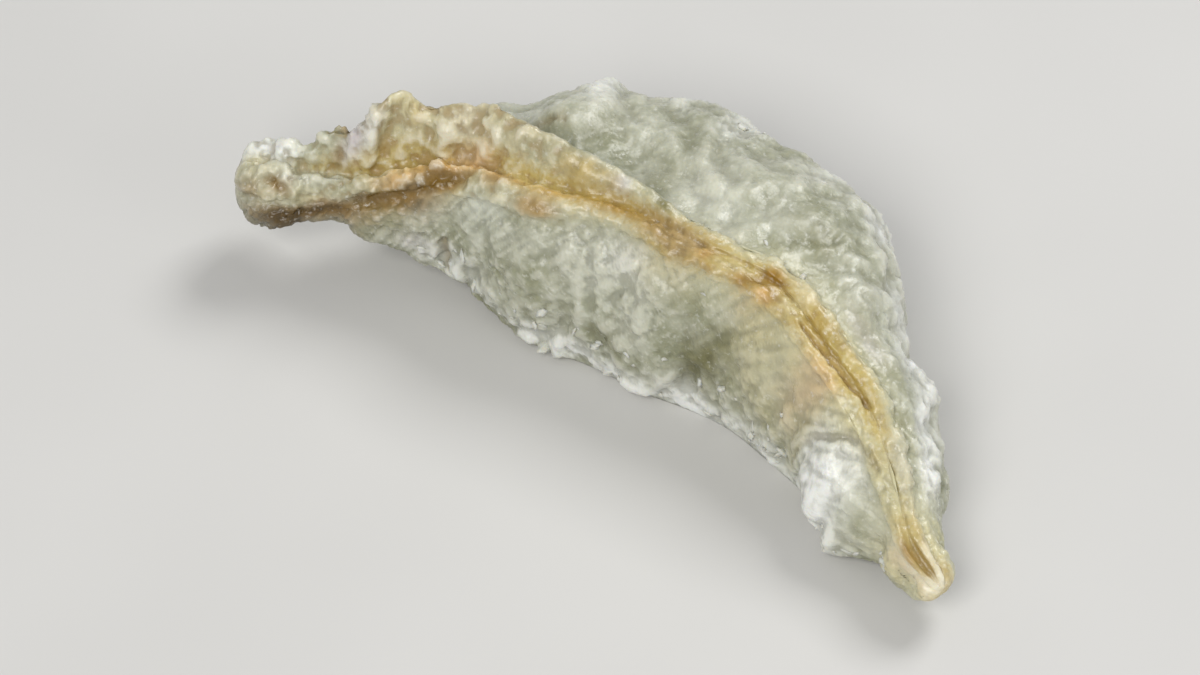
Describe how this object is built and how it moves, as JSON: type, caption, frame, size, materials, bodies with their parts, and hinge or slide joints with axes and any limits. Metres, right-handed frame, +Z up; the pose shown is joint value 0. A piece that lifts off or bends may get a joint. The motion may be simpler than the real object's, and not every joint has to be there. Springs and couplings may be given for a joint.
{
  "type": "gyoza",
  "caption": "Fried gyoza dumpling: a plump crescent shut along a pinched golden crest, with a frilled end, a folded tip and a flat base to rest on.",
  "frame": {"origin": "at the flat base, in the middle of the object's footprint box", "axes": "+X along the chord of the crescent to the folded tip, +Y to the crescent's outer side, +Z up from the surface it rests on"},
  "size_m": [0.0782, 0.0338, 0.0198],
  "materials": {
    "wrapper": "thin fried dough: blistered, faintly translucent grey-green cream with a slight gloss of oil, golden brown along the pinched crest"
  },
  "bodies": {
    "root": {"gyoza": "wrapper"}
  },
  "joints": []
}
